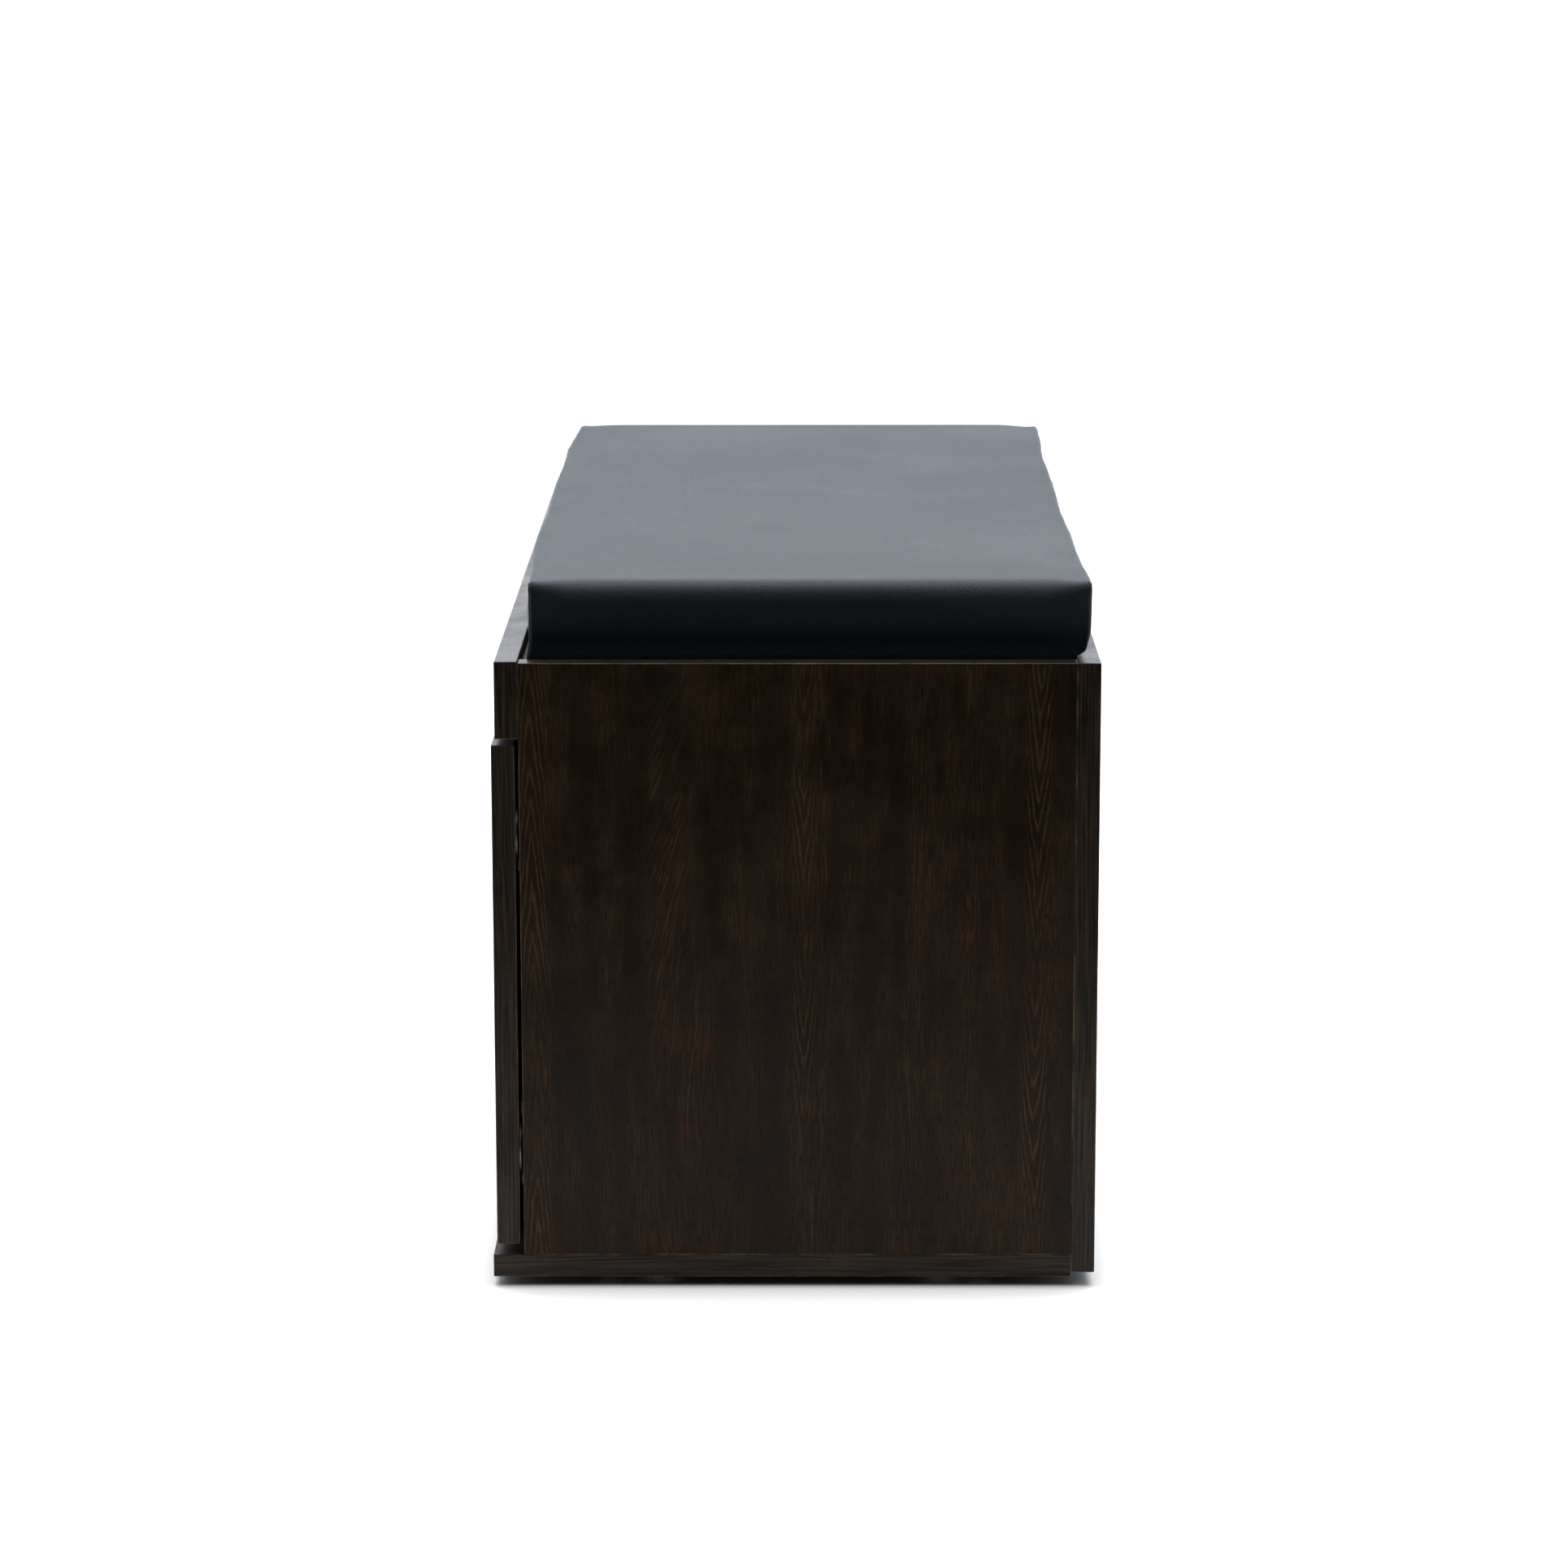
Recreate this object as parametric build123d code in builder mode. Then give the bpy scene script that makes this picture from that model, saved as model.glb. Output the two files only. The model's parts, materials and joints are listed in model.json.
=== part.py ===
from build123d import *
import os

# Storage bench: a flat-pack cabinet of laminated board with two hinged doors and a loose seat cushion.
# Millimetres. X runs along the bench, -Y is the door side, +Z is up.
# The origin is on the floor, at the middle of the length and of the depth.

# Driving dimensions
LENGTH = 800.0
BOARD = 15.0
GLIDE_HEIGHT = 6.0
SIDE_HEIGHT = 390.0
SIDE_DEPTH = 355.0
FRONT_LIP = 5.0          # bottom board ahead of the front rail
RAIL_HEIGHT = 50.0
RAIL_PROUD = 1.0         # rail above the side panels
SEAT_DROP = 6.0          # seat board below the top of the side panels
BACK_LIFT = 3.0          # back panel above the underside of the bottom board
EDGE_RADIUS = 0.8        # rounding of the edge banding

DOOR_GAP_TOP = 4.0
DOOR_GAP_BOTTOM = 7.0
DOOR_GAP_BACK = 2.5
DOOR_GAP_CENTRE = 3.0
DOOR_INSET = 0.5         # door edge inside the end of the bench
HINGE_FROM_END = 60.0    # hinge from the top or bottom of the door

CUSHION_LENGTH = 764.0
CUSHION_HEIGHT = 55.0
CUSHION_FRONT_GAP = 5.5  # to the inner face of the rail
CUSHION_BACK_GAP = 0.5   # to the inner face of the back panel, below its top
CUSHION_OVERHANG = 13.5  # bulge over the back panel, above its top
CUSHION_ROUND = 6.0
COVER_THICKNESS = 1.0
CUSHION_BOARD = 6.0

CLEAR = 0.1              # radial clearance of every pin and screw

# Places worked out from them
HALF = LENGTH / 2
DEPTH = FRONT_LIP + BOARD + SIDE_DEPTH + BOARD
Y_LIP = -DEPTH / 2
Y_RAIL = Y_LIP + FRONT_LIP
Y_EDGE = Y_RAIL + BOARD
Y_REAR = Y_EDGE + SIDE_DEPTH
Y_BACK = Y_REAR + BOARD
Z_BASE = GLIDE_HEIGHT + BOARD
Z_TOP = Z_BASE + SIDE_HEIGHT
Z_SEAT = Z_TOP - SEAT_DROP
Z_UNDER = Z_SEAT - BOARD
Z_RAIL_TOP = Z_TOP + RAIL_PROUD
Z_RAIL = Z_RAIL_TOP - RAIL_HEIGHT
Z_MID_SEAT = Z_SEAT - BOARD / 2
X_INNER = HALF - BOARD
X_MID_SIDE = HALF - BOARD / 2

DOOR_LOW = Z_BASE + DOOR_GAP_BOTTOM
DOOR_HIGH = Z_RAIL - DOOR_GAP_TOP
Y_DOOR_BACK = Y_EDGE - DOOR_GAP_BACK
Y_DOOR_FRONT = Y_DOOR_BACK - BOARD
HINGE_LEVELS = (DOOR_LOW + HINGE_FROM_END, DOOR_HIGH - HINGE_FROM_END)
SIDES = ((-1, "left"), (1, "right"))

# Fasteners
CONFIRMAT_RADIUS = 3.2
CONFIRMAT_LENGTH = 50.0
CONFIRMAT_HEAD = 5.0
CONFIRMAT_HEAD_HEIGHT = 3.5
WOOD_SCREW_RADIUS = 2.0
WOOD_SCREW_LENGTH = 40.0
WOOD_SCREW_HEAD = 4.0
WOOD_SCREW_HEAD_HEIGHT = 2.4
DOWEL_RADIUS = 4.0
DOWEL_LENGTH = 30.0
DOWEL_SHALLOW = 10.0     # end that sits in the thickness of a board
CAM_RADIUS = 7.5
CAM_DEPTH = 12.5
CAM_FROM_EDGE = 24.0
BOLT_RADIUS = 3.0
BOLT_IN_RAIL = 9.0
CAP_RADIUS = 9.4
CAP_THICKNESS = 0.6

BASE_SCREW_Y = (-120.0, 120.0)
BASE_DOWEL_Y = (-150.0, 150.0)
SIDE_SCREW_Y = -86.0
SIDE_DOWEL_Y = 90.0
BACK_SCREW_Z = (60.0, 216.0, 370.0)
BACK_SCREW_X = (-250.0, 250.0)
DIVIDER_SCREW_Z = (130.0, 300.0)
DIVIDER_DOWEL_Y = (-100.0, 100.0)
RAIL_DOWEL_X = 100.0
RAIL_BOLT_X = 200.0
RAIL_END_BOLT_Z = Z_RAIL + 13.0
RAIL_END_DOWEL_Z = Z_RAIL + 36.0

# Shelves and their pins
SHELF_CLEAR = 1.0
SHELF_FRONT = Y_EDGE + 15.0
SHELF_REAR = Y_REAR - 5.0
PIN_RADIUS = 2.5
PIN_DEPTH = 6.0
PIN_OUT = 8.0
PIN_PITCH = 32.0
PIN_LEVEL = 195.0
PIN_Y = (-120.0, 140.0)
PIN_ROWS = [PIN_LEVEL + PIN_PITCH * row for row in (-2, -1, 0, 1, 2)]

# Glides
GLIDE_X = HALF - 21.0
GLIDE_Y = (-87.0, 94.0)
GLIDE_RADIUS = 8.0
GLIDE_FLAT = 4.0
GLIDE_SHOULDER = (6.7, 2.2)     # point that the rounded side passes
NAIL_RADIUS = 1.25
NAIL_LOW = 3.0
NAIL_HIGH = Z_BASE - 4.0

# Concealed hinges: a door turns about an upright axis 6 inside the end of the bench,
# 10 ahead of its side panel
CUP_FROM_EDGE = 22.5
CUP_RADIUS = 17.5
CUP_DEPTH = 11.5
CUP_WALL = 1.0
FLANGE_THICKNESS = 1.0
FLANGE_WIDTH = 14.0
FLANGE_END = 5.0         # beyond each screw
FLANGE_ROUND = 4.0
FLANGE_RING = 1.5        # round the cup
CUP_SCREW_SPAN = 48.0
CUP_SCREW_OFFSET = 9.5
CUP_SCREW_DEPTH = 11.0
PLATE_FROM_EDGE = 37.0
PLATE_THICKNESS = 2.0
PLATE_HALF_DEPTH = 9.0
PLATE_HALF_HEIGHT = 25.0
PLATE_SCREW_SPAN = 32.0
PLATE_SCREW_DEPTH = 11.0
SPINE_AHEAD = 17.0       # spine of the plate, ahead of and behind its middle
SPINE_BEHIND = 21.0
ARM_LOW = 3.0            # arm above the side panel
ARM_HIGH = 11.0
ARM_HALF = 8.0
ARM_WALL = 1.4
ARM_REAR = 62.0          # behind the front edge of the side panel
ARM_NOSE = 1.0           # ahead of it
ARM_SCREW_LENGTH = 7.0
ARM_SCREW_BORE = 5.0
ARM_SCREW_STEPS = (-11.0, 14.0)
NOSE_PIN_RADIUS = 1.5
NOSE_PIN_BACK = 4.0
NOSE_PIN_END = 0.5       # pin beyond the arm at each end
SMALL_SCREW_RADIUS = 1.6
SMALL_HEAD_RADIUS = 3.2
SMALL_HEAD_HEIGHT = 1.2
RECESS_SLOT = 0.8        # cross recess of every screw
RECESS_DEEP = 1.6
RECESS_SHARE = 0.9       # of the head's radius

# Push latches on the centre divider
LATCH_Z = DOOR_HIGH - 31.0
LATCH_WIDTH = 12.0
LATCH_TALL = 14.0
LATCH_LENGTH = 60.0
LATCH_ROUND = 1.5
LATCH_FRONT = Y_EDGE + 2.0
LATCH_X = BOARD / 2 + LATCH_WIDTH / 2
PLUNGER_RADIUS = 3.5
PLUNGER_LENGTH = 44.0
PLUNGER_CHAMFER = 0.6
STRIKE_RADIUS = 8.0
STRIKE_THICKNESS = 1.2
STRIKE_STEM_RADIUS = 2.0
STRIKE_STEM = 8.0
LATCH_SCREW_DEPTH = 6.0
LATCH_SCREW_BACK = 53.0
LATCH_SCREW_STEP = 4.0
LATCH_SCREW_YZ = [(LATCH_FRONT + LATCH_SCREW_BACK, LATCH_Z + side * LATCH_SCREW_STEP) for side in (-1, 1)]
BUMPER_RADIUS = 2.6
BUMPER_THICKNESS = 2.3
BUMPER_ROUND = 0.8
BUMPER_ABOVE = 20.0      # above the door's bottom edge
BUMPER_BELOW = 12.0      # below its top edge

os.makedirs("parts", exist_ok=True)

AXIS_PLANES = {"x": (Plane.YZ, 1), "y": (Plane.XZ, -1), "z": (Plane.XY, 1)}


def bore(axis, start, end, points, radius, mode=Mode.SUBTRACT):
    """Round holes along an axis between two coordinates, or rods with Mode.ADD.

    A point is the other two coordinates, in X, Y, Z order."""
    plane, sign = AXIS_PLANES[axis]
    with BuildSketch(plane.offset(sign * start)) as circles:
        with Locations(*points):
            Circle(radius)
    extrude(circles.sketch, amount=sign * (end - start), mode=mode)


def block(x_span, y_span, z_span, mode=Mode.ADD):
    """Box between two coordinates on each axis."""
    spans = (x_span, y_span, z_span)
    sizes = [abs(span[1] - span[0]) for span in spans]
    middle = [(span[0] + span[1]) / 2 for span in spans]
    with Locations(tuple(middle)):
        Box(*sizes, mode=mode)


def screw(radius, length, head_radius, head_height, countersunk=True):
    """Screw with its head's face at z = 0 and its point down, with a cross recess."""
    recess = head_radius * RECESS_SHARE
    outline = [(0, 0), (head_radius, 0)]
    if not countersunk:
        outline.append((head_radius, -head_height))
    outline += [(radius, -head_height), (radius, radius - length), (0, -length)]
    with BuildPart() as body:
        with BuildSketch(Plane.XZ):
            with BuildLine():
                Polyline(*outline, close=True)
            make_face()
        revolve(axis=Axis.Z)
        Box(recess, RECESS_SLOT, RECESS_DEEP, mode=Mode.SUBTRACT)
        Box(RECESS_SLOT, recess, RECESS_DEEP, mode=Mode.SUBTRACT)
    return body.part


def place_screws(fastener, axis, start, direction, points):
    """Copies of a screw with their heads at a coordinate, driven towards a direction (+1 or -1)."""
    axes = {"x": (1, 0, 0), "y": (0, 1, 0), "z": (0, 0, 1)}
    head_side = tuple(-direction * value for value in axes[axis])
    for first, second in points:
        origin = {"x": (start, first, second), "y": (first, start, second), "z": (first, second, start)}[axis]
        with Locations(Plane(origin=origin, z_dir=head_side)):
            add(fastener)


def save(part, name):
    """Label a finished piece and write its file."""
    part.label = name
    export_step(part, f"parts/{name}.step")


# Places of the fasteners
BASE_XY = [(x, y) for x in (-X_MID_SIDE, 0, X_MID_SIDE) for y in BASE_SCREW_Y]
BASE_DOWEL_XY = [(side * X_MID_SIDE, y) for side in (-1, 1) for y in BASE_DOWEL_Y]
TOP_DOWEL_XY = [(0, y) for y in DIVIDER_DOWEL_Y]
RAIL_DOWEL_XZ = [(side * X_MID_SIDE, RAIL_END_DOWEL_Z) for side in (-1, 1)]
RAIL_DOWEL_XZ += [(side * RAIL_DOWEL_X, Z_MID_SEAT) for side in (-1, 1)]
RAIL_BOLT_XZ = [(side * X_MID_SIDE, RAIL_END_BOLT_Z) for side in (-1, 1)]
RAIL_BOLT_XZ += [(side * RAIL_BOLT_X, Z_MID_SEAT) for side in (-1, 1)]
BACK_XZ = [(side * X_MID_SIDE, z) for side in (-1, 1) for z in BACK_SCREW_Z]
BACK_XZ += [(x, z) for x in BACK_SCREW_X for z in (Z_BASE - BOARD / 2, Z_MID_SEAT)]
BACK_XZ += [(0, z) for z in DIVIDER_SCREW_Z]
GLIDE_XY = [(x, y) for x in (-GLIDE_X, 0, GLIDE_X) for y in GLIDE_Y]
Y_CAM = Y_EDGE + CAM_FROM_EDGE


# Boards
with BuildPart() as bottom_board:
    block((-HALF, HALF), (Y_LIP, Y_REAR), (GLIDE_HEIGHT, Z_BASE))
    fillet(bottom_board.edges(), EDGE_RADIUS)
    bore("z", GLIDE_HEIGHT, Z_BASE, BASE_XY, CONFIRMAT_RADIUS + CLEAR)
    bore("z", GLIDE_HEIGHT, GLIDE_HEIGHT + CONFIRMAT_HEAD_HEIGHT + CLEAR, BASE_XY, CONFIRMAT_HEAD + CLEAR)
    bore("z", Z_BASE, Z_BASE - DOWEL_SHALLOW - CLEAR, BASE_DOWEL_XY, DOWEL_RADIUS + CLEAR)
    bore("z", GLIDE_HEIGHT, NAIL_HIGH + CLEAR, GLIDE_XY, NAIL_RADIUS + CLEAR)
    rear_low = [point for point in BACK_XZ if point[1] < Z_BASE]
    bore("y", Y_REAR, Y_BACK - WOOD_SCREW_LENGTH - CLEAR, rear_low, WOOD_SCREW_RADIUS + CLEAR)
save(bottom_board.part, "bottom_board")

for side, name in SIDES:
    inner = side * X_INNER
    outer = side * HALF
    middle = side * X_MID_SIDE
    with BuildPart() as side_panel:
        block((inner, outer), (Y_EDGE, Y_REAR), (Z_BASE, Z_TOP))
        fillet(side_panel.edges(), EDGE_RADIUS)
        base_points = [(middle, y) for y in BASE_SCREW_Y]
        base_top = GLIDE_HEIGHT + CONFIRMAT_LENGTH + CLEAR
        bore("z", Z_BASE, base_top, base_points, CONFIRMAT_RADIUS + CLEAR)
        dowel_points = [(middle, y) for y in BASE_DOWEL_Y]
        dowel_top = Z_BASE + DOWEL_LENGTH - DOWEL_SHALLOW + CLEAR
        bore("z", Z_BASE, dowel_top, dowel_points, DOWEL_RADIUS + CLEAR)
        seat_screw = [(SIDE_SCREW_Y, Z_MID_SEAT)]
        bore("x", outer, inner, seat_screw, CONFIRMAT_RADIUS + CLEAR)
        head_bottom = outer - side * (CONFIRMAT_HEAD_HEIGHT + CLEAR)
        bore("x", outer, head_bottom, seat_screw, CONFIRMAT_HEAD + CLEAR)
        dowel_end = inner + side * (DOWEL_SHALLOW + CLEAR)
        bore("x", inner, dowel_end, [(SIDE_DOWEL_Y, Z_MID_SEAT)], DOWEL_RADIUS + CLEAR)
        rail_dowel_end = Y_EDGE + DOWEL_LENGTH - DOWEL_SHALLOW + CLEAR
        bore("y", Y_EDGE, rail_dowel_end, [(middle, RAIL_END_DOWEL_Z)], DOWEL_RADIUS + CLEAR)
        bore("y", Y_EDGE, Y_CAM, [(middle, RAIL_END_BOLT_Z)], BOLT_RADIUS + CLEAR)
        cam_bottom = inner + side * (CAM_DEPTH + CLEAR)
        bore("x", inner, cam_bottom, [(Y_CAM, RAIL_END_BOLT_Z)], CAM_RADIUS + CLEAR)
        plate_points = [
            (Y_EDGE + PLATE_FROM_EDGE, level + step * PLATE_SCREW_SPAN / 2)
            for level in HINGE_LEVELS
            for step in (-1, 1)
        ]
        plate_end = inner + side * (PLATE_SCREW_DEPTH + CLEAR)
        bore("x", inner, plate_end, plate_points, SMALL_SCREW_RADIUS + CLEAR)
        pin_points = [(y, z) for y in PIN_Y for z in PIN_ROWS]
        bore("x", inner, inner + side * (PIN_DEPTH + CLEAR), pin_points, PIN_RADIUS + CLEAR)
        back_points = [(middle, z) for z in BACK_SCREW_Z]
        bore("y", Y_REAR, Y_BACK - WOOD_SCREW_LENGTH - CLEAR, back_points, WOOD_SCREW_RADIUS + CLEAR)
    save(side_panel.part, f"side_panel_{name}")

with BuildPart() as back_panel:
    block((-HALF, HALF), (Y_REAR, Y_BACK), (GLIDE_HEIGHT + BACK_LIFT, Z_TOP))
    fillet(back_panel.edges(), EDGE_RADIUS)
    bore("y", Y_REAR, Y_BACK, BACK_XZ, WOOD_SCREW_RADIUS + CLEAR)
    head_seat = Y_BACK - WOOD_SCREW_HEAD_HEIGHT - CLEAR
    bore("y", Y_BACK, head_seat, BACK_XZ, WOOD_SCREW_HEAD + CLEAR)
save(back_panel.part, "back_panel")

with BuildPart() as front_rail:
    block((-HALF, HALF), (Y_RAIL, Y_EDGE), (Z_RAIL, Z_RAIL_TOP))
    fillet(front_rail.edges(), EDGE_RADIUS)
    bore("y", Y_EDGE, Y_EDGE - DOWEL_SHALLOW - CLEAR, RAIL_DOWEL_XZ, DOWEL_RADIUS + CLEAR)
    bore("y", Y_EDGE, Y_EDGE - BOLT_IN_RAIL - CLEAR, RAIL_BOLT_XZ, BOLT_RADIUS + CLEAR)
save(front_rail.part, "front_rail")

with BuildPart() as seat_board:
    block((-X_INNER, X_INNER), (Y_EDGE, Y_REAR), (Z_UNDER, Z_SEAT))
    fillet(seat_board.edges(), EDGE_RADIUS)
    for side, name in SIDES:
        screw_end = side * (HALF - CONFIRMAT_LENGTH - CLEAR)
        bore("x", side * X_INNER, screw_end, [(SIDE_SCREW_Y, Z_MID_SEAT)], CONFIRMAT_RADIUS + CLEAR)
        dowel_end = side * (X_INNER - DOWEL_LENGTH + DOWEL_SHALLOW - CLEAR)
        bore("x", side * X_INNER, dowel_end, [(SIDE_DOWEL_Y, Z_MID_SEAT)], DOWEL_RADIUS + CLEAR)
    rail_dowels = [(side * RAIL_DOWEL_X, Z_MID_SEAT) for side in (-1, 1)]
    rail_bolts = [(side * RAIL_BOLT_X, Z_MID_SEAT) for side in (-1, 1)]
    dowel_end = Y_EDGE + DOWEL_LENGTH - DOWEL_SHALLOW + CLEAR
    bore("y", Y_EDGE, dowel_end, rail_dowels, DOWEL_RADIUS + CLEAR)
    bore("y", Y_EDGE, Y_CAM, rail_bolts, BOLT_RADIUS + CLEAR)
    cam_points = [(side * RAIL_BOLT_X, Y_CAM) for side in (-1, 1)]
    bore("z", Z_UNDER, Z_UNDER + CAM_DEPTH + CLEAR, cam_points, CAM_RADIUS + CLEAR)
    bore("z", Z_UNDER, Z_UNDER + DOWEL_SHALLOW + CLEAR, TOP_DOWEL_XY, DOWEL_RADIUS + CLEAR)
    rear_points = [(x, Z_MID_SEAT) for x in BACK_SCREW_X]
    bore("y", Y_REAR, Y_BACK - WOOD_SCREW_LENGTH - CLEAR, rear_points, WOOD_SCREW_RADIUS + CLEAR)
save(seat_board.part, "seat_board")

with BuildPart() as centre_divider:
    block((-BOARD / 2, BOARD / 2), (Y_EDGE, Y_REAR), (Z_BASE, Z_UNDER))
    fillet(centre_divider.edges(), EDGE_RADIUS)
    base_points = [(0, y) for y in BASE_SCREW_Y]
    base_top = GLIDE_HEIGHT + CONFIRMAT_LENGTH + CLEAR
    bore("z", Z_BASE, base_top, base_points, CONFIRMAT_RADIUS + CLEAR)
    dowel_low = Z_UNDER - DOWEL_LENGTH + DOWEL_SHALLOW - CLEAR
    bore("z", Z_UNDER, dowel_low, TOP_DOWEL_XY, DOWEL_RADIUS + CLEAR)
    rear_points = [(0, z) for z in DIVIDER_SCREW_Z]
    bore("y", Y_REAR, Y_BACK - WOOD_SCREW_LENGTH - CLEAR, rear_points, WOOD_SCREW_RADIUS + CLEAR)
    pin_points = [(y, z) for y in PIN_Y for z in PIN_ROWS]
    for side, name in SIDES:
        face = side * BOARD / 2
        bore("x", face, face - side * (PIN_DEPTH + CLEAR), pin_points, PIN_RADIUS + CLEAR)
        latch_screw_end = face - side * (LATCH_SCREW_DEPTH + CLEAR)
        bore("x", face, latch_screw_end, LATCH_SCREW_YZ, SMALL_SCREW_RADIUS + CLEAR)
save(centre_divider.part, "centre_divider")

shelf_width = X_INNER - BOARD / 2 - 2 * SHELF_CLEAR
for side, name in SIDES:
    near = side * (BOARD / 2 + SHELF_CLEAR)
    shelf_low = PIN_LEVEL + PIN_RADIUS
    with BuildPart() as shelf:
        block((near, near + side * shelf_width), (SHELF_FRONT, SHELF_REAR), (shelf_low, shelf_low + BOARD))
        fillet(shelf.edges(), EDGE_RADIUS)
    save(shelf.part, f"shelf_{name}")


# Joinery
with BuildPart() as shelf_pins:
    points = [(y, PIN_LEVEL) for y in PIN_Y]
    for side, name in SIDES:
        for face, inward in ((side * X_INNER, -side), (side * BOARD / 2, side)):
            bore("x", face - inward * PIN_DEPTH, face + inward * PIN_OUT, points, PIN_RADIUS, Mode.ADD)
save(shelf_pins.part, "shelf_pins")

confirmat = screw(CONFIRMAT_RADIUS, CONFIRMAT_LENGTH, CONFIRMAT_HEAD, CONFIRMAT_HEAD_HEIGHT, False)
with BuildPart() as base_screws:
    place_screws(confirmat, "z", GLIDE_HEIGHT, 1, BASE_XY)
save(base_screws.part, "base_screws")

with BuildPart() as side_screws:
    for side, name in SIDES:
        place_screws(confirmat, "x", side * HALF, -side, [(SIDE_SCREW_Y, Z_MID_SEAT)])
save(side_screws.part, "side_screws")

wood_screw = screw(WOOD_SCREW_RADIUS, WOOD_SCREW_LENGTH, WOOD_SCREW_HEAD, WOOD_SCREW_HEAD_HEIGHT)
with BuildPart() as back_screws:
    place_screws(wood_screw, "y", Y_BACK, -1, BACK_XZ)
save(back_screws.part, "back_screws")

with BuildPart() as screw_caps:
    for side, name in SIDES:
        cap_face = side * (HALF + CAP_THICKNESS)
        bore("x", side * HALF, cap_face, [(SIDE_SCREW_Y, Z_MID_SEAT)], CAP_RADIUS, Mode.ADD)
    rims = screw_caps.edges().filter_by(GeomType.CIRCLE).sort_by(Axis.X)
    chamfer([rims[0], rims[-1]], CAP_THICKNESS / 2)
save(screw_caps.part, "screw_caps")

with BuildPart() as dowels:
    base_low = Z_BASE - DOWEL_SHALLOW
    bore("z", base_low, base_low + DOWEL_LENGTH, BASE_DOWEL_XY, DOWEL_RADIUS, Mode.ADD)
    top_high = Z_UNDER + DOWEL_SHALLOW
    bore("z", top_high, top_high - DOWEL_LENGTH, TOP_DOWEL_XY, DOWEL_RADIUS, Mode.ADD)
    rail_front = Y_EDGE - DOWEL_SHALLOW
    bore("y", rail_front, rail_front + DOWEL_LENGTH, RAIL_DOWEL_XZ, DOWEL_RADIUS, Mode.ADD)
    for side, name in SIDES:
        outer = side * (X_INNER + DOWEL_SHALLOW)
        seat_dowel = [(SIDE_DOWEL_Y, Z_MID_SEAT)]
        bore("x", outer, outer - side * DOWEL_LENGTH, seat_dowel, DOWEL_RADIUS, Mode.ADD)
save(dowels.part, "dowels")

with BuildPart() as cam_bolts:
    bore("y", Y_EDGE - BOLT_IN_RAIL, Y_CAM - BOLT_RADIUS, RAIL_BOLT_XZ, BOLT_RADIUS, Mode.ADD)
save(cam_bolts.part, "cam_bolts")

with BuildPart() as cam_locks:
    for side, name in SIDES:
        face = side * X_INNER
        cam_point = [(Y_CAM, RAIL_END_BOLT_Z)]
        bore("x", face, face + side * CAM_DEPTH, cam_point, CAM_RADIUS, Mode.ADD)
        cam_face = Plane(origin=(face, Y_CAM, RAIL_END_BOLT_Z), z_dir=(-side, 0, 0))
        with Locations(cam_face):
            Box(CAM_RADIUS, RECESS_SLOT, 2 * RECESS_DEEP, mode=Mode.SUBTRACT)
            Box(RECESS_SLOT, CAM_RADIUS, 2 * RECESS_DEEP, mode=Mode.SUBTRACT)
    cam_points = [(side * RAIL_BOLT_X, Y_CAM) for side in (-1, 1)]
    bore("z", Z_UNDER, Z_UNDER + CAM_DEPTH, cam_points, CAM_RADIUS, Mode.ADD)
    with Locations(*[(x, y, Z_UNDER) for x, y in cam_points]):
        Box(CAM_RADIUS, RECESS_SLOT, 2 * RECESS_DEEP, mode=Mode.SUBTRACT)
        Box(RECESS_SLOT, CAM_RADIUS, 2 * RECESS_DEEP, mode=Mode.SUBTRACT)
    bore("y", Y_EDGE, Y_CAM - BOLT_RADIUS + CLEAR, RAIL_BOLT_XZ, BOLT_RADIUS + CLEAR)
save(cam_locks.part, "cam_locks")

with BuildPart() as one_glide:
    with BuildSketch(Plane.XZ):
        with BuildLine():
            Line((0, 0), (GLIDE_FLAT, 0))
            ThreePointArc((GLIDE_FLAT, 0), GLIDE_SHOULDER, (GLIDE_RADIUS, GLIDE_HEIGHT))
            Polyline((GLIDE_RADIUS, GLIDE_HEIGHT), (0, GLIDE_HEIGHT), (0, 0))
        make_face()
    revolve(axis=Axis.Z)
    bore("z", NAIL_LOW - CLEAR, GLIDE_HEIGHT, [(0, 0)], NAIL_RADIUS + CLEAR)

with BuildPart() as glides:
    with Locations(*[(x, y, 0) for x, y in GLIDE_XY]):
        add(one_glide.part)
save(glides.part, "glides")

with BuildPart() as glide_nails:
    bore("z", NAIL_LOW, NAIL_HIGH, GLIDE_XY, NAIL_RADIUS, Mode.ADD)
save(glide_nails.part, "glide_nails")


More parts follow.
